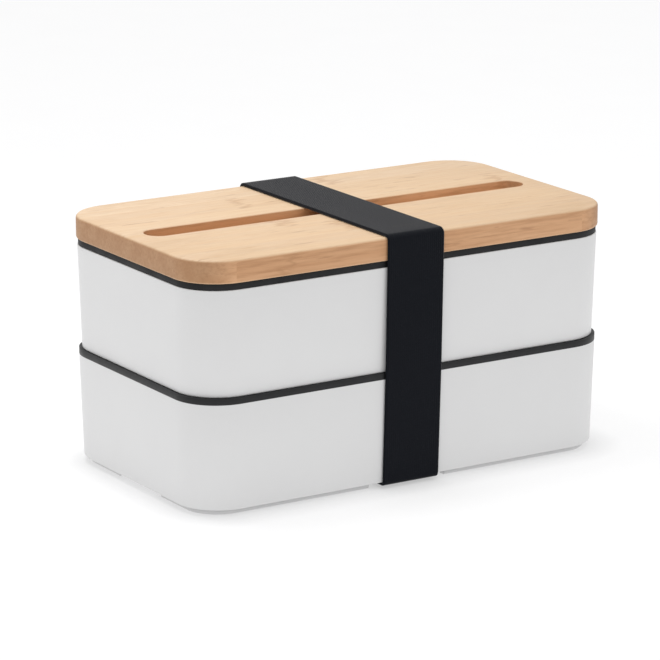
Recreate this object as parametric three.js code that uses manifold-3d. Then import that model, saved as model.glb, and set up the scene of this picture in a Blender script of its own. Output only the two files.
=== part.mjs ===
// A two-tier bento lunch box: two stacking food containers, a middle lid with a cutlery tray,
// a bamboo top lid with a phone groove, two silicone seals and one elastic strap.
// Millimetres, +Z up, X along the box, the front at -Y. The origin is under the box's centre.
import * as THREE from "three";
import { mergeVertices } from "three/addons/utils/BufferGeometryUtils.js";
import Module from "manifold-3d";

const wasm = await Module();
wasm.setup();

// Outline of the bamboo lid, which every other outline is inset from.
const LENGTH = 185;
const WIDTH = 105.2;
const CORNER = 18;

// Heights of the visible bands, from the table up.
const FOOT_HEIGHT = 2.4;
const TIER_HEIGHT = 40.3;
const RIM_HEIGHT = 2.4;
const SEAL_HEIGHT = 2.5;
const LID_HEIGHT = 8.8;

// Containers.
const TIER_INSET = 0.4;
const TIER_DRAFT = 1;
const TIER_EDGE = 0.6;
const WALL = 2;
const FLOOR = 2;
const FLOOR_FILLET = 4;
const FOOT_INSET = 4.4;
const FOOT_WIDTH = 3.2;
const FOOT_GAP_FRONT = 34;
const FOOT_GAP_SIDE = 32;

// Middle lid. FIT is the gap that neighbouring pieces keep from each other.
const FIT = 0.3;
const PLATE = 2;
const NECK_INSET = 4.5;
const NECK_HEIGHT = 2.8;
const LIP_INSET = 3.1;
const LIP_HEIGHT = 1.2;
const SKIRT_WALL = 1.6;
const TRAY_LENGTH = 162;
const TRAY_WIDTH = 56;
const TRAY_DEPTH = 7;
const TRAY_CORNER = 8;

// Bamboo lid.
const LID_TOP_EDGE = 1.2;
const LID_BOTTOM_EDGE = 0.8;
const GROOVE_LENGTH = 168.6;
const GROOVE_WIDTH = 11.8;
const GROOVE_DEPTH = 6;
const GROOVE_CHAMFER = 0.25;
const PLUG_DEPTH = 5;

// Lid seal: a flange under the bamboo and a skirt inside the upper container.
const SEAL_INSET = 0.7;
const SEAL_SKIRT = 2.8;
const SEAL_DEPTH = 4;

// Elastic strap round the middle of the stack.
const STRAP_WIDTH = 25;
const STRAP_THICKNESS = 1.2;
const STRAP_GAP = 0.1;

// Divider of the upper container and the cutlery.
const DIVIDER_X = 22;
const DIVIDER_HEIGHT = 33;
const DIVIDER_THICKNESS = 1.6;
const CUTLERY_LENGTH = 150;
const CUTLERY_THICKNESS = 2.4;
const NECK_WIDTH = 7;
const GRIP_WIDTH = 14;
const SPOON_WIDTH = 27;
const SPOON_BOWL = 50;
const SPOON_DEPTH = 5.6;
const FORK_WIDTH = 23;
const FORK_HEAD = 52;
const FORK_SHOULDER = 9;
const TINE_GAP = 2.6;
const TINE_LENGTH = 33;

// Levels of the stack.
const LOWER_TIER = FOOT_HEIGHT;
const LOWER_RIM = LOWER_TIER + TIER_HEIGHT;
const UPPER_TIER = LOWER_RIM + RIM_HEIGHT;
const UPPER_RIM = UPPER_TIER + TIER_HEIGHT;
const LID_BOTTOM = UPPER_RIM + SEAL_HEIGHT;
const LID_TOP = LID_BOTTOM + LID_HEIGHT;
const RECESS_FLOOR = UPPER_TIER - FOOT_HEIGHT;
const PLATE_BOTTOM = RECESS_FLOOR - PLATE;
const TRAY_FLOOR = RECESS_FLOOR - TRAY_DEPTH;

// Insets from the lid outline that several pieces share.
const TIER_INSIDE = TIER_INSET + WALL;
const SKIRT_OUTSIDE = TIER_INSIDE + FIT;

const PLASTIC_WHITE = new THREE.MeshStandardMaterial({ color: 0xe2e2e1, roughness: 0.42, metalness: 0 });
const PLASTIC_BLACK = new THREE.MeshStandardMaterial({ color: 0x2c2d2f, roughness: 0.5, metalness: 0 });
const SILICONE = new THREE.MeshStandardMaterial({ color: 0x1e1f21, roughness: 0.65, metalness: 0 });
const BAMBOO = new THREE.MeshStandardMaterial({ color: 0xdcb48a, roughness: 0.55, metalness: 0 });
const ELASTIC = new THREE.MeshStandardMaterial({ color: 0x202228, roughness: 0.9, metalness: 0 });

// ---- Helpers ----

// A closed three.js geometry as a manifold-3d solid.
function solid(geometry) {
  const bare = geometry.index ? geometry.toNonIndexed() : geometry.clone();
  bare.deleteAttribute("normal");
  bare.deleteAttribute("uv");
  const merged = mergeVertices(bare, 1e-4);
  return new wasm.Manifold(
    new wasm.Mesh({
      numProp: 3,
      vertProperties: merged.attributes.position.array,
      triVerts: new Uint32Array(merged.index.array),
    }),
  );
}

// A manifold-3d solid as a three.js geometry.
function geometryOf(body) {
  const mesh = body.getMesh();
  const geometry = new THREE.BufferGeometry();
  geometry.setAttribute("position", new THREE.BufferAttribute(mesh.vertProperties, 3));
  geometry.setIndex(new THREE.BufferAttribute(mesh.triVerts, 1));
  geometry.computeVertexNormals();
  return geometry;
}

// A named mesh of one solid, added to the lunch box.
function addPiece(name, body, material) {
  const mesh = new THREE.Mesh(geometryOf(body), material);
  mesh.name = name;
  lunchBox.add(mesh);
  return mesh;
}

// A rectangle with round corners, centred on the origin.
function roundedRectangle(halfX, halfY, radius) {
  const shape = new THREE.Shape();
  shape.absarc(halfX - radius, halfY - radius, radius, 0, Math.PI / 2);
  shape.absarc(radius - halfX, halfY - radius, radius, Math.PI / 2, Math.PI);
  shape.absarc(radius - halfX, radius - halfY, radius, Math.PI, 1.5 * Math.PI);
  shape.absarc(halfX - radius, radius - halfY, radius, 1.5 * Math.PI, 2 * Math.PI);
  return shape;
}

// A rounded rectangle extruded from z = low to z = high, both of its rims rounded by edge.
function prism(halfX, halfY, radius, low, high, edge = 0, edgeSteps = 3) {
  const geometry = new THREE.ExtrudeGeometry(roundedRectangle(halfX, halfY, radius), {
    depth: high - low - 2 * edge,
    curveSegments: 8,
    bevelEnabled: edge > 0,
    bevelThickness: edge,
    bevelSize: edge,
    bevelOffset: -edge,
    bevelSegments: edgeSteps,
  });
  return geometry.translate(0, 0, low + edge);
}

// The same with the lid's outline, inset all round.
function slab(inset, low, high, edge = 0) {
  return prism(LENGTH / 2 - inset, WIDTH / 2 - inset, CORNER - inset, low, high, edge);
}

// Moulding draft: the geometry narrows by TIER_DRAFT a side from z = TIER_HEIGHT down to z = 0.
function drafted(geometry) {
  const points = geometry.attributes.position;
  for (let i = 0; i < points.count; i++) {
    const inward = TIER_DRAFT * Math.min(1, Math.max(0, 1 - points.getZ(i) / TIER_HEIGHT));
    points.setX(i, points.getX(i) * (1 - (2 * inward) / LENGTH));
    points.setY(i, points.getY(i) * (1 - (2 * inward) / WIDTH));
  }
  return geometry;
}

function box(centreX, centreY, sizeX, sizeY, low, high) {
  const geometry = new THREE.BoxGeometry(sizeX, sizeY, high - low);
  return solid(geometry.translate(centreX, centreY, (low + high) / 2));
}

// A flat outline in X and Y extruded from z = low to z = high.
function plate(shape, low, high) {
  const geometry = new THREE.ExtrudeGeometry(shape, {
    depth: high - low,
    curveSegments: 12,
    bevelEnabled: false,
  });
  return solid(geometry.translate(0, 0, low));
}

// ---- Containers ----

// The space inside a container, reduced all round by gap. Its floor has a round edge.
function cavity(gap) {
  const above = TIER_HEIGHT + 2 * FLOOR_FILLET;
  return solid(drafted(slab(TIER_INSIDE + gap, FLOOR + gap, above, FLOOR_FILLET)));
}

// Four corner feet: a ring under the floor, open in the middle of each side.
function feet() {
  const ring = solid(slab(FOOT_INSET, -FOOT_HEIGHT, FLOOR / 2, 0.4));
  const inside = solid(slab(FOOT_INSET + FOOT_WIDTH, -2 * FOOT_HEIGHT, FLOOR));
  const frontGap = box(0, 0, FOOT_GAP_FRONT, 2 * WIDTH, -2 * FOOT_HEIGHT, 0);
  const sideGap = box(0, 0, 2 * LENGTH, FOOT_GAP_SIDE, -2 * FOOT_HEIGHT, 0);
  return ring.subtract(inside).subtract(frontGap).subtract(sideGap);
}

// A container with its wall's bottom edge at z = 0. Both tiers are the same moulding.
function container() {
  const outside = solid(drafted(slab(TIER_INSET, 0, TIER_HEIGHT + TIER_EDGE, TIER_EDGE)));
  const top = box(0, 0, 2 * LENGTH, 2 * WIDTH, TIER_HEIGHT, 2 * TIER_HEIGHT);
  return outside.subtract(top).subtract(cavity(0)).add(feet());
}

// ---- Middle lid ----

// The rim shows between the tiers. A plate and a grooved skirt sit inside the lower container,
// a recess takes the upper container's feet, and a tray below it takes the cutlery.
function middleLid() {
  const rim = solid(slab(TIER_INSET, LOWER_RIM, UPPER_TIER));
  const lidPlate = solid(slab(SKIRT_OUTSIDE, PLATE_BOTTOM, UPPER_TIER));
  const neckBottom = PLATE_BOTTOM - NECK_HEIGHT;
  const lipBottom = neckBottom - LIP_HEIGHT;
  const neck = solid(slab(NECK_INSET, lipBottom, PLATE_BOTTOM));
  const lip = solid(slab(LIP_INSET, lipBottom, neckBottom, LIP_HEIGHT / 4));
  const recess = solid(slab(FOOT_INSET - FIT, RECESS_FLOOR, 2 * UPPER_TIER));
  const underside = solid(slab(NECK_INSET + SKIRT_WALL, 0, PLATE_BOTTOM));
  const halfX = TRAY_LENGTH / 2;
  const halfY = TRAY_WIDTH / 2;
  const tray = solid(
    prism(
      halfX + SKIRT_WALL,
      halfY + SKIRT_WALL,
      TRAY_CORNER + SKIRT_WALL,
      TRAY_FLOOR - SKIRT_WALL,
      RECESS_FLOOR - PLATE / 2,
    ),
  );
  const trayInside = solid(prism(halfX, halfY, TRAY_CORNER, TRAY_FLOOR, 2 * UPPER_TIER, 1));
  return rim
    .add(lidPlate)
    .add(neck)
    .add(lip)
    .subtract(underside)
    .add(tray)
    .subtract(recess)
    .subtract(trayInside);
}

// The seal in the groove between the middle lid's plate and the lip of its skirt.
function middleSeal() {
  const low = PLATE_BOTTOM - NECK_HEIGHT + FIT;
  const high = PLATE_BOTTOM - FIT;
  const ring = solid(slab(SKIRT_OUTSIDE, low, high, 0.5));
  return ring.subtract(solid(slab(NECK_INSET - FIT, 0, LID_TOP)));
}

// ---- Bamboo lid ----

function bambooLid() {
  const roundTop = solid(slab(0, LID_BOTTOM - LID_HEIGHT, LID_TOP, LID_TOP_EDGE));
  const roundBottom = solid(slab(0, LID_BOTTOM, LID_TOP + LID_HEIGHT, LID_BOTTOM_EDGE));
  const plugInset = SKIRT_OUTSIDE + SEAL_SKIRT + FIT;
  const plug = solid(slab(plugInset, LID_BOTTOM - PLUG_DEPTH, LID_TOP - LID_HEIGHT / 2, 0.6));
  const halfX = GROOVE_LENGTH / 2;
  const halfY = GROOVE_WIDTH / 2;
  const groove = solid(prism(halfX, halfY, halfY, LID_TOP - GROOVE_DEPTH, 2 * LID_TOP));
  const mouth = solid(
    prism(
      halfX + GROOVE_CHAMFER,
      halfY + GROOVE_CHAMFER,
      halfY + GROOVE_CHAMFER,
      LID_TOP - GROOVE_CHAMFER,
      2 * LID_TOP,
      GROOVE_CHAMFER,
      1,
    ),
  );
  return roundTop.intersect(roundBottom).add(plug).subtract(groove).subtract(mouth);
}

function lidSeal() {
  const flange = solid(slab(SEAL_INSET, UPPER_RIM, LID_BOTTOM));
  const skirt = solid(slab(SKIRT_OUTSIDE, UPPER_RIM - SEAL_DEPTH, LID_BOTTOM));
  const inside = solid(slab(SKIRT_OUTSIDE + SEAL_SKIRT, 0, 2 * LID_TOP));
  return flange.add(skirt).subtract(inside);
}

// ---- Strap ----

// The stack's middle section in Y and Z, pushed outwards by grow: the line that a strap takes
// over the lid, past the middle lid's rim, round the lower container's edge and under its floor.
function girth(grow) {
  const lidY = WIDTH / 2 + grow;
  const rimY = lidY - TIER_INSET;
  const floorY = rimY - TIER_DRAFT;
  const top = LID_TOP + grow;
  const bottom = LOWER_TIER - grow;
  const topRadius = LID_TOP_EDGE + grow;
  const bottomRadius = TIER_EDGE + grow;
  const shape = new THREE.Shape();
  shape.absarc(lidY - topRadius, top - topRadius, topRadius, 0, Math.PI / 2);
  shape.absarc(topRadius - lidY, top - topRadius, topRadius, Math.PI / 2, Math.PI);
  shape.lineTo(-lidY, LID_BOTTOM);
  shape.lineTo(-rimY, UPPER_TIER);
  shape.lineTo(-rimY, LOWER_RIM);
  shape.absarc(bottomRadius - floorY, bottom + bottomRadius, bottomRadius, Math.PI, 1.5 * Math.PI);
  shape.absarc(floorY - bottomRadius, bottom + bottomRadius, bottomRadius, 1.5 * Math.PI, 2 * Math.PI);
  shape.lineTo(rimY, LOWER_RIM);
  shape.lineTo(rimY, UPPER_TIER);
  shape.lineTo(lidY, LID_BOTTOM);
  return shape;
}

function strap() {
  const shape = girth(STRAP_GAP + STRAP_THICKNESS);
  shape.holes.push(girth(STRAP_GAP));
  const geometry = new THREE.ExtrudeGeometry(shape, {
    depth: STRAP_WIDTH,
    curveSegments: 6,
    bevelEnabled: false,
  });
  // The outline was drawn in X and Y: turn it into Y and Z, with the strap's width along X.
  geometry.translate(0, 0, -STRAP_WIDTH / 2);
  geometry.rotateX(Math.PI / 2);
  geometry.rotateZ(Math.PI / 2);
  return solid(geometry);
}

// ---- Loose pieces ----

// A wall across the container that stands on a foot flange and has a bead along its top.
function divider() {
  const top = FLOOR + DIVIDER_HEIGHT;
  const wall = box(DIVIDER_X, 0, DIVIDER_THICKNESS, WIDTH, 0, top);
  const bead = box(DIVIDER_X, 0, 2 * DIVIDER_THICKNESS, WIDTH, top - DIVIDER_THICKNESS, top);
  const foot = box(DIVIDER_X, 0, 6 * DIVIDER_THICKNESS, WIDTH, 0, FLOOR + FIT + DIVIDER_THICKNESS);
  return wall.add(bead).add(foot).intersect(cavity(FIT));
}

// Outline of a handle that widens from its neck, at x = neck, to a round end at x = -length / 2.
function handle(neck, neckWidth, endWidth) {
  const endRadius = endWidth / 2;
  const endX = endRadius - CUTLERY_LENGTH / 2;
  const shape = new THREE.Shape();
  shape.moveTo(neck, neckWidth / 2);
  shape.bezierCurveTo(neck - 30, neckWidth / 2, endX + 40, endRadius, endX, endRadius);
  shape.absarc(endX, 0, endRadius, Math.PI / 2, 1.5 * Math.PI);
  shape.bezierCurveTo(endX + 40, -endRadius, neck - 30, -neckWidth / 2, neck, -neckWidth / 2);
  return shape;
}

function ellipsoid(centreX, centreZ, halfX, halfY, halfZ) {
  const ball = new THREE.SphereGeometry(1, 32, 16);
  return solid(ball.scale(halfX, halfY, halfZ).translate(centreX, 0, centreZ));
}

function spoon() {
  const rim = SPOON_DEPTH;
  const bowlX = (CUTLERY_LENGTH - SPOON_BOWL) / 2;
  const wall = CUTLERY_THICKNESS / 2;
  const outer = ellipsoid(bowlX, rim, SPOON_BOWL / 2, SPOON_WIDTH / 2, rim);
  const inner = ellipsoid(bowlX, rim, SPOON_BOWL / 2 - wall, SPOON_WIDTH / 2 - wall, rim - wall);
  const neck = handle(bowlX - SPOON_BOWL / 3, NECK_WIDTH, GRIP_WIDTH);
  const grip = plate(neck, rim - CUTLERY_THICKNESS, rim);
  const above = box(0, 0, 2 * CUTLERY_LENGTH, 2 * SPOON_WIDTH, rim, 4 * rim);
  return outer.add(grip).subtract(inner).subtract(above);
}

// Side view of the fork: a flat handle, a dip behind the head and tips that turn up again.
function forkSideView() {
  const half = CUTLERY_LENGTH / 2;
  const headX = half - FORK_HEAD;
  const line = new THREE.CatmullRomCurve3([
    new THREE.Vector3(-half, 0, 0),
    new THREE.Vector3(-half / 2, 1.4, 0),
    new THREE.Vector3(headX - 8, 1.6, 0),
    new THREE.Vector3(headX + 14, 0, 0),
    new THREE.Vector3(half - 14, 0.4, 0),
    new THREE.Vector3(half, 2.4, 0),
  ]).getPoints(36);
  const upper = line.map((p) => new THREE.Vector2(p.x, p.y + CUTLERY_THICKNESS));
  const lower = line.map((p) => new THREE.Vector2(p.x, p.y));
  return new THREE.Shape(lower.concat(upper.reverse()));
}

function fork() {
  const half = CUTLERY_LENGTH / 2;
  const headX = half - FORK_HEAD;
  const side = new THREE.ExtrudeGeometry(forkSideView(), { depth: FORK_WIDTH, bevelEnabled: false });
  side.translate(0, 0, -FORK_WIDTH / 2).rotateX(Math.PI / 2);
  const high = 4 * CUTLERY_THICKNESS;
  const head = solid(prism(FORK_HEAD / 2, FORK_WIDTH / 2, FORK_SHOULDER, -high, high));
  const grip = plate(handle(headX + 6, NECK_WIDTH, GRIP_WIDTH), -high, high);
  let outline = grip.add(head.translate(half - FORK_HEAD / 2, 0, 0));
  const tineStep = (FORK_WIDTH + TINE_GAP) / 4;
  for (const i of [-1, 0, 1]) {
    const gap = solid(prism(TINE_LENGTH, TINE_GAP / 2, TINE_GAP / 2 - 0.01, -2 * high, 2 * high));
    outline = outline.subtract(gap.translate(half, i * tineStep, 0));
  }
  return solid(side).intersect(outline);
}

// ---- Assembly ----

const lunchBox = new THREE.Group();

const lowerContainer = addPiece("lower_container", container(), PLASTIC_WHITE);
lowerContainer.position.z = LOWER_TIER;

addPiece("mid_lid", middleLid(), PLASTIC_BLACK);
addPiece("mid_lid_seal", middleSeal(), SILICONE);

const forkPiece = addPiece("fork", fork(), PLASTIC_BLACK);
forkPiece.position.set(0, TRAY_WIDTH / 4, TRAY_FLOOR + FIT);
const spoonPiece = addPiece("spoon", spoon(), PLASTIC_BLACK);
spoonPiece.position.set(0, -TRAY_WIDTH / 4, TRAY_FLOOR + FIT);

const upperContainer = addPiece("upper_container", container(), PLASTIC_WHITE);
upperContainer.position.z = UPPER_TIER;
const dividerPiece = addPiece("divider", divider(), PLASTIC_WHITE);
dividerPiece.position.z = UPPER_TIER;

addPiece("lid_seal", lidSeal(), SILICONE);
addPiece("bamboo_lid", bambooLid(), BAMBOO);
addPiece("elastic_strap", strap(), ELASTIC);

export default lunchBox;
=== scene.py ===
# A two-tier bento lunch box on a white floor: satin white containers, a black middle lid,
# a bamboo top lid with a phone groove, and a black elastic strap.
import math

import bpy
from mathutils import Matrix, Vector


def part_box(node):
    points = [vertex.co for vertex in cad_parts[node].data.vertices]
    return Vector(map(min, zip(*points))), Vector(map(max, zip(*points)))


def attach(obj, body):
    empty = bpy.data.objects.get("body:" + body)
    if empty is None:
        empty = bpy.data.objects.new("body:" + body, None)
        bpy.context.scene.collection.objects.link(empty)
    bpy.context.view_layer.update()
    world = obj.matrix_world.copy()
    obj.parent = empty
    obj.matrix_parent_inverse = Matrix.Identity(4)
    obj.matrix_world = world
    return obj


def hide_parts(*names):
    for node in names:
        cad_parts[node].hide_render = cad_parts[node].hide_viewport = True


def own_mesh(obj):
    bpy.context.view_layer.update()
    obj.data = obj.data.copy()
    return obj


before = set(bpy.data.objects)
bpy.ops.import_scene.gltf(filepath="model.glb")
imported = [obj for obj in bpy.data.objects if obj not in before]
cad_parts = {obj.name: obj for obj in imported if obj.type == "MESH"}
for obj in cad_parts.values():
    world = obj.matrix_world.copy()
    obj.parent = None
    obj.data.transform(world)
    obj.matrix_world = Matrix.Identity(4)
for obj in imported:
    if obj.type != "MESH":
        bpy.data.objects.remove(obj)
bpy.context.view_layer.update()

MM = 0.001

# Camera: where it stands round the object, and its lens.
CAMERA_AZIMUTH = -32.21
CAMERA_ELEVATION = 14.7
CAMERA_DISTANCE = 1.413
CAMERA_HEIGHT = 0.0481
CAMERA_LENS = 200.5
CAMERA_SHIFT = (-0.0131, 0.00105)

# Light: a pale sky, a broad overhead light and a near one over the box's left end.
SKY_STRENGTH = 0.672
OVERHEAD_POWER = 4.6
OVERHEAD_PLACE = (0.1, -0.1, 1.6)
OVERHEAD_SIZE = 1.4
KEY_POWER = 0.62
KEY_PLACE = (-0.1, 0.1, 0.46)
KEY_SIZE = 0.2

# Table. It glows with painted light from just inside the box's outline, and has the glow's last part
# only beyond the soft shade, so the dark under the box and part of the soft shade are painted shadow.
# The first distances run inwards from the walls, the last two outwards.
FLOOR_SIZE = 12.0
FLOOR_GLOW = 0.58
FIRST_GLOW = 0.8
BOX_CORNER = 18 * MM
GLOW_STARTS_INSIDE = 14 * MM
GLOW_FULL_INSIDE = 9 * MM
SHADE_STARTS = 1 * MM
SHADE_WIDTH = 12 * MM

# Strap, and the rounded edges that it passes over.
STRAP_LAYER = 1.2 * MM
STRAP_EDGE = 0.5 * MM
STRAP_LEAN = (-0.8 * MM, 0.3 * MM)
RIB = 0.9 * MM
RIB_DEPTH = 0.035 * MM
WEFT = 1.1 * MM
STRAP_STEP = 3 * MM
LID_CONTACT = 9 * MM
SEWN_LENGTH = 22 * MM
SEWN_GAP = 0.02 * MM
STITCH_LENGTH = 2.2 * MM
STITCH_MARGIN = (3 * MM, 2 * MM)
THREAD = 0.28 * MM
THREAD_SINK = 0.06 * MM
THREAD_SIDES = 6
LID_EDGE = 1.2 * MM
TIER_EDGE = 0.6 * MM
TIER_DRAFT = 1 * MM

# A stitch: how far along it each ring lies, and the ring's share of the thread's radius.
STITCH_PROFILE = ((0.1, 0.3), (0.25, 1.0), (0.75, 1.0), (0.9, 0.3))

# CAD nodes: the edges that stay sharp in shading, and those that are rounded, in degrees.
CREASE_ANGLE = 38
BEVEL_ANGLE = 42

# Bamboo and plastic.
STRIP_WIDTH = 17.5 * MM
SEAM_WIDTH = 0.2 * MM
KNUCKLE_SPACING = 0.095
KNUCKLE_WIDTH = 3.2 * MM
# The plastic's painted shade in narrow corners: how far it reaches, and how much of the colour is left
# in full shade.
CORNER_REACH = 4 * MM
CORNER_PAINTED_SHADE = 0.5


# ---- Shader building ----

class Shader:
    """A node material that is built by short calls."""

    def __init__(self, name):
        self.material = bpy.data.materials.new(name)
        self.material.use_nodes = True
        self.tree = self.material.node_tree
        self.surface = self.tree.nodes["Principled BSDF"]

    def node(self, kind, **settings):
        made = self.tree.nodes.new(kind)
        for key, value in settings.items():
            setattr(made, key, value)
        return made

    def feed(self, socket, value):
        """Links a socket to another one, or sets its constant."""
        if isinstance(value, bpy.types.NodeSocket):
            self.tree.links.new(value, socket)
        else:
            socket.default_value = value

    def place(self):
        """Object coordinates."""
        return self.node("ShaderNodeTexCoord").outputs["Object"]

    def stretch(self, vector, scale):
        """A vector with each of its parts scaled."""
        mapping = self.node("ShaderNodeMapping")
        self.feed(mapping.inputs["Vector"], vector)
        mapping.inputs["Scale"].default_value = scale
        return mapping.outputs["Vector"]

    def split(self, vector):
        """A vector's three parts."""
        axes = self.node("ShaderNodeSeparateXYZ")
        self.feed(axes.inputs[0], vector)
        return axes.outputs

    def noise(self, vector, scale, detail=3.0, roughness=0.5):
        made = self.node("ShaderNodeTexNoise")
        self.feed(made.inputs["Vector"], vector)
        made.inputs["Scale"].default_value = scale
        made.inputs["Detail"].default_value = detail
        made.inputs["Roughness"].default_value = roughness
        return made.outputs["Fac"]

    def math(self, operation, *values):
        made = self.node("ShaderNodeMath", operation=operation)
        for socket, value in zip(made.inputs, values):
            self.feed(socket, value)
        return made.outputs[0]

    def remap(self, value, low, high, to_low, to_high):
        made = self.node("ShaderNodeMapRange")
        for name, given in (
            ("Value", value),
            ("From Min", low),
            ("From Max", high),
            ("To Min", to_low),
            ("To Max", to_high),
        ):
            self.feed(made.inputs[name], given)
        return made.outputs[0]

    def mix(self, factor, a, b):
        made = self.node("ShaderNodeMix", data_type="RGBA")
        self.feed(made.inputs[0], factor)
        self.feed(made.inputs[6], a)
        self.feed(made.inputs[7], b)
        return made.outputs[2]

    def layer(self, base, *coats):
        """Mixes coats over a base colour in turn. A coat is its factor and its colour."""
        for factor, colour in coats:
            base = self.mix(factor, base, colour)
        return base

    def bump(self, height, distance, strength=1.0, normal=None):
        made = self.node("ShaderNodeBump")
        self.feed(made.inputs["Height"], height)
        made.inputs["Distance"].default_value = distance
        made.inputs["Strength"].default_value = strength
        if normal is not None:
            self.feed(made.inputs["Normal"], normal)
        return made.outputs[0]

    def finish(self, **sockets):
        """Sets the Principled BSDF's sockets, with spaces in their names written as underscores."""
        for name, value in sockets.items():
            self.feed(self.surface.inputs[name.replace("_", " ")], value)
        return self.material


def rgb(red, green, blue):
    return (red, green, blue, 1.0)


def moulded_plastic(name, dark, light, gloss, texture_depth, specular=0.5):
    """Moulded plastic: faint mottling, uneven gloss, a fine texture, and painted shade in narrow
    corners.

    The painted shade deepens the line of shade behind the feet: ambient occlusion darkens the colour in
    narrow corners. It is found from the piece's own shape, so it is the same at every pose.
    """
    shader = Shader(name)
    place = shader.place()
    mottle = shader.noise(place, 60, 2)
    sheen = shader.noise(place, 420, 4)
    grain = shader.noise(place, 2600, 2, 0.6)
    bump = shader.bump(grain, texture_depth, 0.35)
    # Painted shade: ambient occlusion darkens the narrow corners, such as behind the feet.
    corners = shader.node("ShaderNodeAmbientOcclusion", samples=6, only_local=True)
    corners.inputs["Distance"].default_value = CORNER_REACH
    unshaded = shader.remap(corners.outputs["AO"], 0.58, 0.9, 0.0, 1.0)
    colour = shader.mix(shader.remap(mottle, 0.35, 0.65, 0, 1), dark, light)
    painted_shade = rgb(*(CORNER_PAINTED_SHADE * channel for channel in dark[:3]))
    return shader.finish(
        Base_Color=shader.mix(unshaded, painted_shade, colour),
        Roughness=shader.remap(sheen, 0.3, 0.7, gloss - 0.03, gloss + 0.03),
        Specular_IOR_Level=specular,
        Normal=bump,
    )


def silicone(name):
    """Black silicone: matt, with pale dust."""
    shader = Shader(name)
    place = shader.place()
    dust = shader.noise(place, 900, 4, 0.7)
    soft = shader.noise(place, 150, 2)
    return shader.finish(
        Base_Color=shader.mix(
            shader.remap(dust, 0.6, 0.75, 0, 1), rgb(0.005, 0.0052, 0.006), rgb(0.015, 0.015, 0.016)
        ),
        Roughness=shader.remap(soft, 0.3, 0.7, 0.5, 0.66),
        Specular_IOR_Level=0.36,
        Normal=shader.bump(dust, 0.03 * MM, 0.4),
    )


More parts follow.
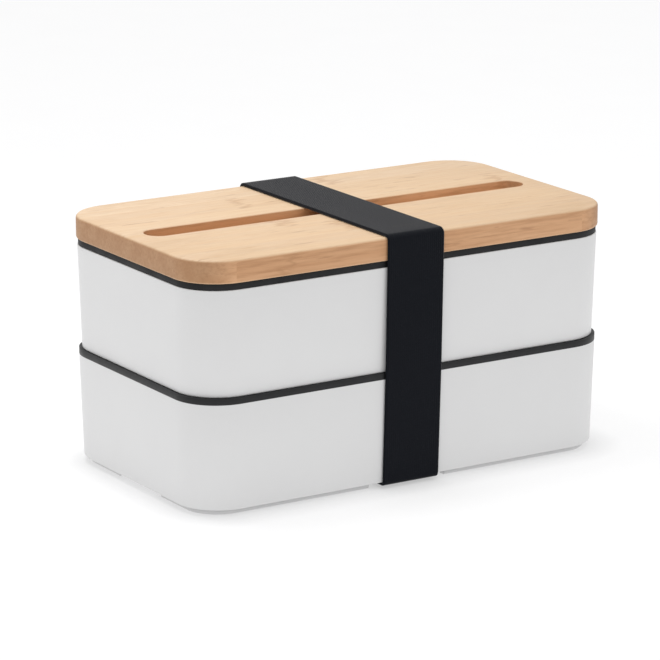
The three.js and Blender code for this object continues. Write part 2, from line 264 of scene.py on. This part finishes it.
def bamboo(name):
    """Laminated bamboo: strips along X, each with its own tone, grain, fibres and knuckles."""
    shader = Shader(name)
    place = shader.place()
    x, y, z = shader.split(place)
    strip = shader.math("FLOOR", shader.math("DIVIDE", y, STRIP_WIDTH))
    tone_of_strip = shader.node("ShaderNodeTexWhiteNoise", noise_dimensions="1D")
    shader.feed(tone_of_strip.inputs["W"], strip)
    tone = tone_of_strip.outputs["Value"]
    # Grain is drawn out along X. Each strip takes it from another place.
    shifted = shader.node("ShaderNodeCombineXYZ")
    shader.feed(shifted.inputs[0], shader.math("MULTIPLY_ADD", strip, 0.37, x))
    shader.feed(shifted.inputs[1], y)
    shader.feed(shifted.inputs[2], z)
    along = shader.stretch(shifted.outputs[0], (0.05, 1, 1))
    grain = shader.noise(along, 900, 4, 0.65)
    fibre = shader.noise(along, 3200, 3, 0.6)
    broad = shader.noise(along, 160, 3, 0.5)
    flecks = shader.noise(shader.stretch(shifted.outputs[0], (0.13, 1, 1)), 520, 3, 0.55)
    fleck = shader.remap(flecks, 0.63, 0.76, 0, 1)
    # A knuckle is a ragged band across one strip, where the fibres darken.
    ragged = shader.math("MULTIPLY", shader.math("SUBTRACT", flecks, 0.5), 26 * MM)
    knot_place = shader.math("ADD", shader.math("MULTIPLY_ADD", tone, 2 * KNUCKLE_SPACING, x), ragged)
    knot_distance = shader.math("PINGPONG", knot_place, KNUCKLE_SPACING)
    knuckle = shader.remap(knot_distance, 0.0, KNUCKLE_WIDTH, 1, 0)
    seam_distance = shader.math("PINGPONG", y, STRIP_WIDTH / 2)
    seam = shader.remap(seam_distance, STRIP_WIDTH / 2 - SEAM_WIDTH, STRIP_WIDTH / 2, 0, 1)
    # The top is pale and the sides warmer: partly the faces' own tone, partly painted shade on the
    # sides. The ends are darker with painted shade, the lower edge lighter with a painted highlight, and
    # the top darkens towards +X with a painted falloff of the light.
    facing = shader.split(shader.node("ShaderNodeTexCoord").outputs["Normal"])
    upward = shader.remap(facing[2], 0.35, 0.85, 0, 1)
    end_painted_shade = shader.remap(shader.math("ABSOLUTE", facing[0]), 0.15, 0.7, 0, 1)
    underside_painted_highlight = shader.remap(facing[2], -0.75, -0.3, 1, 0)
    # A painted falloff of the light: the top darkens towards +X.
    painted_falloff = shader.remap(x, -0.09, 0.09, 0, 0.3)
    stains = shader.noise(shader.stretch(place, (0.7, 1.6, 1)), 26, 5, 0.7)
    pale = shader.layer(
        shader.mix(tone, rgb(0.74, 0.54, 0.36), rgb(0.82, 0.63, 0.445)),
        (painted_falloff, rgb(0.66, 0.45, 0.265)),
        (shader.remap(stains, 0.5, 0.68, 0, 0.6), rgb(0.62, 0.42, 0.24)),
        (shader.remap(broad, 0.4, 0.62, 0, 0.6), rgb(0.78, 0.56, 0.345)),
        (shader.remap(grain, 0.42, 0.72, 0, 0.6), rgb(0.70, 0.455, 0.26)),
    )
    # The sides: their own warmer tone with painted shade, darker still at the ends with painted shade.
    warm = shader.layer(
        shader.mix(shader.remap(broad, 0.35, 0.65, 0, 1), rgb(0.62, 0.33, 0.165), rgb(0.76, 0.45, 0.25)),
        (shader.remap(grain, 0.45, 0.72, 0, 0.62), rgb(0.43, 0.21, 0.095)),
        # Painted shade on the ends.
        (shader.math("MULTIPLY", end_painted_shade, 0.62), rgb(0.36, 0.195, 0.095)),
    )
    wood = shader.layer(
        shader.mix(upward, warm, pale),
        # A painted highlight on the lower edge, where the floor lights it.
        (shader.math("MULTIPLY", underside_painted_highlight, 0.6), rgb(0.86, 0.62, 0.40)),
        (shader.remap(fibre, 0.58, 0.72, 0, 0.26), rgb(0.46, 0.25, 0.12)),
        (shader.math("MULTIPLY", fleck, 0.5), rgb(0.36, 0.17, 0.075)),
        (shader.math("MULTIPLY", knuckle, 0.42), rgb(0.42, 0.21, 0.09)),
        (shader.math("MULTIPLY", seam, 0.12), rgb(0.42, 0.23, 0.12)),
    )
    bump = shader.bump(fibre, 0.05 * MM, 0.4)
    bump = shader.bump(seam, -0.03 * MM, 0.4, bump)
    return shader.finish(
        Base_Color=wood,
        Roughness=shader.remap(grain, 0.3, 0.7, 0.45, 0.62),
        Specular_IOR_Level=0.4,
        Normal=bump,
    )


def webbing(name):
    """Woven elastic: fine ribs along the strap, crossed by the weft, with stray pale fibres.

    The weave's UV map is in millimetres.
    """
    shader = Shader(name)
    uv = shader.node("ShaderNodeUVMap", uv_map="weave")
    across, along, _ = shader.split(uv.outputs[0])
    rib = shader.math("SINE", shader.math("MULTIPLY", across, 2 * math.pi * MM / RIB))
    yarn = shader.math("FLOOR", shader.math("DIVIDE", across, RIB / 2 / MM))
    turned = shader.math("MULTIPLY", yarn, math.pi)
    weft = shader.math("SINE", shader.math("MULTIPLY_ADD", along, 2 * math.pi * MM / WEFT, turned))
    weave = shader.math("ADD", rib, shader.math("MULTIPLY", weft, 0.6))
    fuzz = shader.noise(uv.outputs[0], 3.1, 4, 0.7)
    speck = shader.remap(shader.noise(uv.outputs[0], 2.2, 2, 0.4), 0.68, 0.74, 0, 0.5)
    colour = shader.mix(
        shader.remap(weave, -1.6, 1.6, 0, 1), rgb(0.002, 0.0028, 0.005), rgb(0.0055, 0.007, 0.0115)
    )
    colour = shader.mix(speck, colour, rgb(0.02, 0.021, 0.025))
    bump = shader.bump(weave, 0.05 * MM, 0.6)
    bump = shader.bump(fuzz, 0.05 * MM, 0.5, bump)
    return shader.finish(
        Base_Color=colour,
        Roughness=shader.remap(fuzz, 0.3, 0.7, 0.72, 0.9),
        Specular_IOR_Level=0.14,
        Sheen_Weight=0.38,
        Sheen_Roughness=0.3,
        Sheen_Tint=rgb(0.95, 0.93, 0.92),
        Normal=bump,
    )


# ---- Mesh building ----

def mesh_object(name, vertices, faces):
    mesh = bpy.data.meshes.new(name)
    mesh.from_pydata([tuple(v) for v in vertices], [], faces)
    made = bpy.data.objects.new(name, mesh)
    bpy.context.scene.collection.objects.link(made)
    return made


def arc(centre, radius, start, end, steps):
    """Points on a circle, in degrees anticlockwise from +Y in the YZ plane."""
    points = []
    for i in range(steps + 1):
        angle = math.radians(start + (end - start) * i / steps)
        points.append((centre[0] + radius * math.cos(angle), centre[1] + radius * math.sin(angle)))
    return points


def smoothing_group():
    """Geometry nodes that smooth a mesh except at its sharp edges."""
    group = bpy.data.node_groups.new("smooth_by_angle", "GeometryNodeTree")
    group.interface.new_socket("Geometry", in_out="INPUT", socket_type="NodeSocketGeometry")
    group.interface.new_socket("Geometry", in_out="OUTPUT", socket_type="NodeSocketGeometry")
    start = group.nodes.new("NodeGroupInput")
    end = group.nodes.new("NodeGroupOutput")
    angle = group.nodes.new("GeometryNodeInputMeshEdgeAngle")
    sharp = group.nodes.new("FunctionNodeCompare")
    sharp.operation = "GREATER_THAN"
    sharp.inputs[1].default_value = math.radians(CREASE_ANGLE)
    smooth = group.nodes.new("GeometryNodeSetShadeSmooth")
    crease = group.nodes.new("GeometryNodeSetShadeSmooth")
    crease.domain = "EDGE"
    crease.inputs["Shade Smooth"].default_value = False
    link = group.links.new
    link(start.outputs[0], smooth.inputs["Geometry"])
    link(smooth.outputs[0], crease.inputs["Geometry"])
    link(angle.outputs["Unsigned Angle"], sharp.inputs[0])
    link(sharp.outputs[0], crease.inputs["Selection"])
    link(crease.outputs[0], end.inputs[0])
    return group


def soften(node, width, group):
    """Rounds a CAD node's sharp edges a little and smooths its curved faces."""
    if "custom_normal" in node.data.attributes:
        node.data.attributes.remove(node.data.attributes["custom_normal"])
    weld = node.modifiers.new("weld", "WELD")
    weld.merge_threshold = 0.002 * MM
    flat = node.modifiers.new("flat", "DECIMATE")
    flat.decimate_type = "DISSOLVE"
    flat.angle_limit = math.radians(0.5)
    if width:
        bevel = node.modifiers.new("edges", "BEVEL")
        bevel.width = width
        bevel.segments = 2
        bevel.limit_method = "ANGLE"
        bevel.angle_limit = math.radians(BEVEL_ANGLE)
        bevel.use_clamp_overlap = True
    smooth = node.modifiers.new("smooth", "NODES")
    smooth.node_group = group


# ---- Strap ----

def girth_line():
    """The strap's inner line in Y and Z, once round the stack from the middle of the lid's top."""
    _, lid_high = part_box("bamboo_lid")
    _, rim_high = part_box("mid_lid")
    strap_low, strap_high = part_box("elastic_strap")
    inner = strap_high.z - STRAP_LAYER
    bottom = strap_low.z + STRAP_LAYER
    gap = inner - lid_high.z
    lid_y = lid_high.y + gap
    rim_y = rim_high.y + gap
    floor_y = rim_y - TIER_DRAFT
    top_radius = LID_EDGE + gap
    low_radius = TIER_EDGE + gap
    side = arc((lid_y - top_radius, inner - top_radius), top_radius, 90, 0, 8)
    side.append((lid_y, inner - LID_CONTACT))
    side.append((rim_y, rim_high.z))
    side += arc((floor_y - low_radius, bottom + low_radius), low_radius, 0, -90, 8)
    other = [(-y, z) for y, z in reversed(side)]
    return side + other


def resample(points, step):
    """A closed line of points with straight stretches split to about step."""
    line = []
    for a, b in zip(points, points[1:] + points[:1]):
        a, b = Vector(a), Vector(b)
        pieces = max(1, round((b - a).length / step))
        line += [a.lerp(b, i / pieces) for i in range(pieces)]
    return line


def strap_section(half_width):
    """Across the strap: (x, height above the inner face), once round the section."""
    steps = 56
    middle = STRAP_LAYER / 2
    outer, inner = [], []
    for i in range(steps + 1):
        x = -half_width + 2 * half_width * i / steps
        edge = min(half_width - abs(x), STRAP_EDGE) / STRAP_EDGE
        shoulder = math.sqrt(max(0.0, 1 - (1 - edge) ** 2))
        rib = RIB_DEPTH * (math.cos(2 * math.pi * x / RIB) - 1)
        outer.append((x, middle + (middle + rib) * shoulder))
        inner.append((x, middle - middle * shoulder))
    return outer + inner[-2:0:-1]


def webbing_mesh(name, line, closed):
    """A strap along a line in Y and Z. Its outer face is on the line's left."""
    low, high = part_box("elastic_strap")
    centre = (low.x + high.x) / 2
    section = strap_section((high.x - low.x) / 2)
    count, ring = len(line), len(section)
    vertices, travelled = [], [0.0]
    for i, point in enumerate(line):
        ahead = line[(i + 1) % count] if closed or i + 1 < count else point * 2 - line[i - 1]
        behind = line[i - 1] if closed or i else point * 2 - ahead
        before, after = (point - behind).normalized(), (ahead - point).normalized()
        bend = before + after
        outward = Vector((-bend.y, bend.x)).normalized()
        stretch = 1 / max(0.5, outward.dot(Vector((-after.y, after.x))))
        travelled.append(travelled[-1] + (ahead - point).length)
        lean = STRAP_LEAN[0] + (STRAP_LEAN[1] - STRAP_LEAN[0]) * (point.y - low.z) / (high.z - low.z)
        for x, height in section:
            out = point + outward * height * stretch
            vertices.append((centre + lean + x, out.x, out.y))
    faces = []
    for i in range(count if closed else count - 1):
        for j in range(ring):
            right = (j + 1) % ring
            here, there = i * ring, (i + 1) % count * ring
            faces.append((here + j, here + right, there + right, there + j))
    if not closed:
        faces.append(tuple(reversed(range(ring))))
        faces.append(tuple(range((count - 1) * ring, count * ring)))
    made = mesh_object(name, vertices, faces)
    weave = made.data.uv_layers.new(name="weave")
    for face in made.data.polygons:
        face.use_smooth = len(face.vertices) == 4
        i = min(face.index // ring, count - 1)
        for corner in face.loop_indices:
            vertex = made.data.loops[corner].vertex_index
            along = travelled[i] if vertex // ring == i else travelled[i + 1]
            weave.data[corner].uv = ((vertices[vertex][0] - centre) / MM, along / MM)
    return made


def sewn_line():
    """Under the floor: the line of the strap's free end, which is sewn on below the strap."""
    low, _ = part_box("elastic_strap")
    steps = 10
    return [
        Vector((SEWN_LENGTH * (0.5 - i / steps), low.z - SEWN_GAP)) for i in range(steps + 1)
    ]


def stitches():
    """A box with a cross in it, of thread stitches on the sewn end. A stitch is a small spindle."""
    low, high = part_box("elastic_strap")
    depth = low.z - STRAP_LAYER + THREAD_SINK
    half_x = (high.x - low.x) / 2 - STITCH_MARGIN[0]
    half_y = SEWN_LENGTH / 2 - STITCH_MARGIN[1]
    corners = [(-half_x, -half_y), (half_x, -half_y), (half_x, half_y), (-half_x, half_y)]
    runs = list(zip(corners, corners[1:] + corners[:1]))
    runs += [(corners[0], corners[2]), (corners[1], corners[3])]
    vertices, faces = [], []
    for start, end in runs:
        start, end = Vector(start), Vector(end)
        count = round((end - start).length / STITCH_LENGTH)
        step = (end - start) / count
        side = Vector((-step.y, step.x)).normalized()
        for i in range(count):
            first = len(vertices)
            for share, width in STITCH_PROFILE:
                middle = start + step * (i + share)
                for turn in range(THREAD_SIDES):
                    angle = 2 * math.pi * turn / THREAD_SIDES
                    across = middle + side * THREAD * width * math.cos(angle)
                    height = depth + THREAD * width * math.sin(angle)
                    vertices.append((across.x, across.y, height))
            for level in range(len(STITCH_PROFILE) - 1):
                ring = first + THREAD_SIDES * level
                for turn in range(THREAD_SIDES):
                    a, b = ring + turn, ring + (turn + 1) % THREAD_SIDES
                    faces.append((a, b, b + THREAD_SIDES, a + THREAD_SIDES))
            last = first + (len(STITCH_PROFILE) - 1) * THREAD_SIDES
            faces.append(tuple(first + turn for turn in reversed(range(THREAD_SIDES))))
            faces.append(tuple(last + turn for turn in range(THREAD_SIDES)))
    made = mesh_object("strap_stitches", vertices, faces)
    for face in made.data.polygons:
        face.use_smooth = True
    return made


def sewing_thread(name):
    """Twisted polyester thread."""
    shader = Shader(name)
    place = shader.place()
    twist = shader.noise(place, 5200, 2)
    return shader.finish(
        Base_Color=shader.mix(twist, rgb(0.008, 0.009, 0.012), rgb(0.03, 0.031, 0.036)),
        Roughness=0.55,
        Sheen_Weight=0.2,
        Normal=shader.bump(twist, 0.03 * MM, 0.5),
    )


# ---- Scene ----

def finish_cad_nodes():
    """Gives the CAD nodes that stay in sight their materials and softened edges."""
    group = smoothing_group()
    white = moulded_plastic(
        "white_plastic", rgb(0.782, 0.781, 0.782), rgb(0.79, 0.79, 0.79), 0.42, 0.015 * MM
    )
    black = moulded_plastic(
        "black_plastic", rgb(0.007, 0.0074, 0.0084), rgb(0.01, 0.0104, 0.0115), 0.46, 0.03 * MM, 0.36
    )
    cutlery = moulded_plastic(
        "cutlery_plastic", rgb(0.022, 0.022, 0.024), rgb(0.028, 0.028, 0.03), 0.32, 0.01 * MM
    )
    rubber = silicone("black_silicone")
    wood = bamboo("bamboo")
    finishes = {
        "lower_container": (white, 0.35 * MM),
        "upper_container": (white, 0.35 * MM),
        "divider": (white, 0.25 * MM),
        "mid_lid": (black, 0.25 * MM),
        "mid_lid_seal": (rubber, 0.2 * MM),
        "lid_seal": (rubber, 0.3 * MM),
        "fork": (cutlery, 0.35 * MM),
        "spoon": (cutlery, 0.35 * MM),
        "bamboo_lid": (wood, 0.0),
    }
    for name, (material, edge) in finishes.items():
        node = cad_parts[name]
        node.data.materials.clear()
        node.data.materials.append(material)
        soften(node, edge, group)


def add_strap():
    """The strap's pieces."""
    band = webbing_mesh("strap_band", resample(girth_line(), STRAP_STEP), True)
    end = webbing_mesh("strap_sewn_end", sewn_line(), False)
    sewing = stitches()
    elastic = webbing("elastic_webbing")
    pieces = ((band, elastic), (end, elastic), (sewing, sewing_thread("sewing_thread")))
    for piece, material in pieces:
        piece.data.materials.append(material)
        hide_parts("elastic_strap")
        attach(piece, "strap")
        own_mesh(piece)


def floor():
    """A white table. It glows with painted light to stay white: not under the box's middle, and less
    close to it, which paints shadow under and beside the box.
    """
    shader = Shader("floor")
    place = shader.place()
    paper = shader.noise(place, 30, 2)
    axes = shader.split(place)
    wall_low, wall_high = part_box("lower_container")
    outside = []
    for axis in (0, 1):
        half = (wall_high[axis] - wall_low[axis]) / 2 - BOX_CORNER
        offset = shader.math("SUBTRACT", shader.math("ABSOLUTE", axes[axis]), half)
        outside.append(shader.math("MAXIMUM", offset, 0.0))
    squares = [shader.math("MULTIPLY", value, value) for value in outside]
    # Measured from a rectangle whose sides lie BOX_CORNER inside the walls.
    distance = shader.math("SQRT", shader.math("ADD", squares[0], squares[1]))
    # Painted shadow: the glow fades under the box and close beside it.
    beside = shader.remap(
        distance, BOX_CORNER - GLOW_STARTS_INSIDE, BOX_CORNER - GLOW_FULL_INSIDE, 0.0, FIRST_GLOW
    )
    beyond = shader.remap(
        distance, BOX_CORNER + SHADE_STARTS, BOX_CORNER + SHADE_WIDTH, 0.0, 1 - FIRST_GLOW
    )
    glow = shader.math("MULTIPLY", shader.math("ADD", beside, beyond), FLOOR_GLOW)
    shader.finish(
        Base_Color=shader.mix(paper, rgb(0.47, 0.47, 0.474), rgb(0.49, 0.49, 0.494)),
        Roughness=0.9,
        Emission_Color=rgb(1, 1, 1),
        Emission_Strength=glow,
    )
    half = FLOOR_SIZE / 2
    made = mesh_object(
        "floor",
        [(-half, -half, 0), (half, -half, 0), (half, half, 0), (-half, half, 0)],
        [(0, 1, 2, 3)],
    )
    made.data.materials.append(shader.material)


def light(name, place, size, power):
    """A round white lamp that faces the origin."""
    lamp = bpy.data.lights.new(name, "AREA")
    lamp.shape = "DISK"
    lamp.size = size
    lamp.energy = power
    made = bpy.data.objects.new(name, lamp)
    made.location = place
    made.rotation_euler = (-Vector(place)).to_track_quat("-Z", "Y").to_euler()
    bpy.context.scene.collection.objects.link(made)


def sky():
    """An even white surround."""
    world = bpy.data.worlds.new("sky")
    world.use_nodes = True
    background = world.node_tree.nodes["Background"]
    background.inputs["Color"].default_value = rgb(1, 1, 1)
    background.inputs["Strength"].default_value = SKY_STRENGTH
    bpy.context.scene.world = world


def camera():
    """Stands round the vertical axis at the azimuth, and looks at it from the elevation."""
    azimuth, elevation = math.radians(CAMERA_AZIMUTH), math.radians(CAMERA_ELEVATION)
    back = Vector((
        math.sin(azimuth) * math.cos(elevation),
        -math.cos(azimuth) * math.cos(elevation),
        math.sin(elevation),
    ))
    lens = bpy.data.cameras.new("camera")
    lens.lens = CAMERA_LENS
    lens.sensor_width = 36
    lens.shift_x, lens.shift_y = CAMERA_SHIFT
    lens.clip_end = 50
    made = bpy.data.objects.new("camera", lens)
    made.location = Vector((0, 0, CAMERA_HEIGHT)) + back * CAMERA_DISTANCE
    made.rotation_euler = back.to_track_quat("Z", "Y").to_euler()
    bpy.context.scene.collection.objects.link(made)
    bpy.context.scene.camera = made


finish_cad_nodes()
add_strap()
floor()
sky()
light("overhead", OVERHEAD_PLACE, OVERHEAD_SIZE, OVERHEAD_POWER)
light("key", KEY_PLACE, KEY_SIZE, KEY_POWER)
camera()
bpy.context.scene.view_settings.view_transform = "Standard"
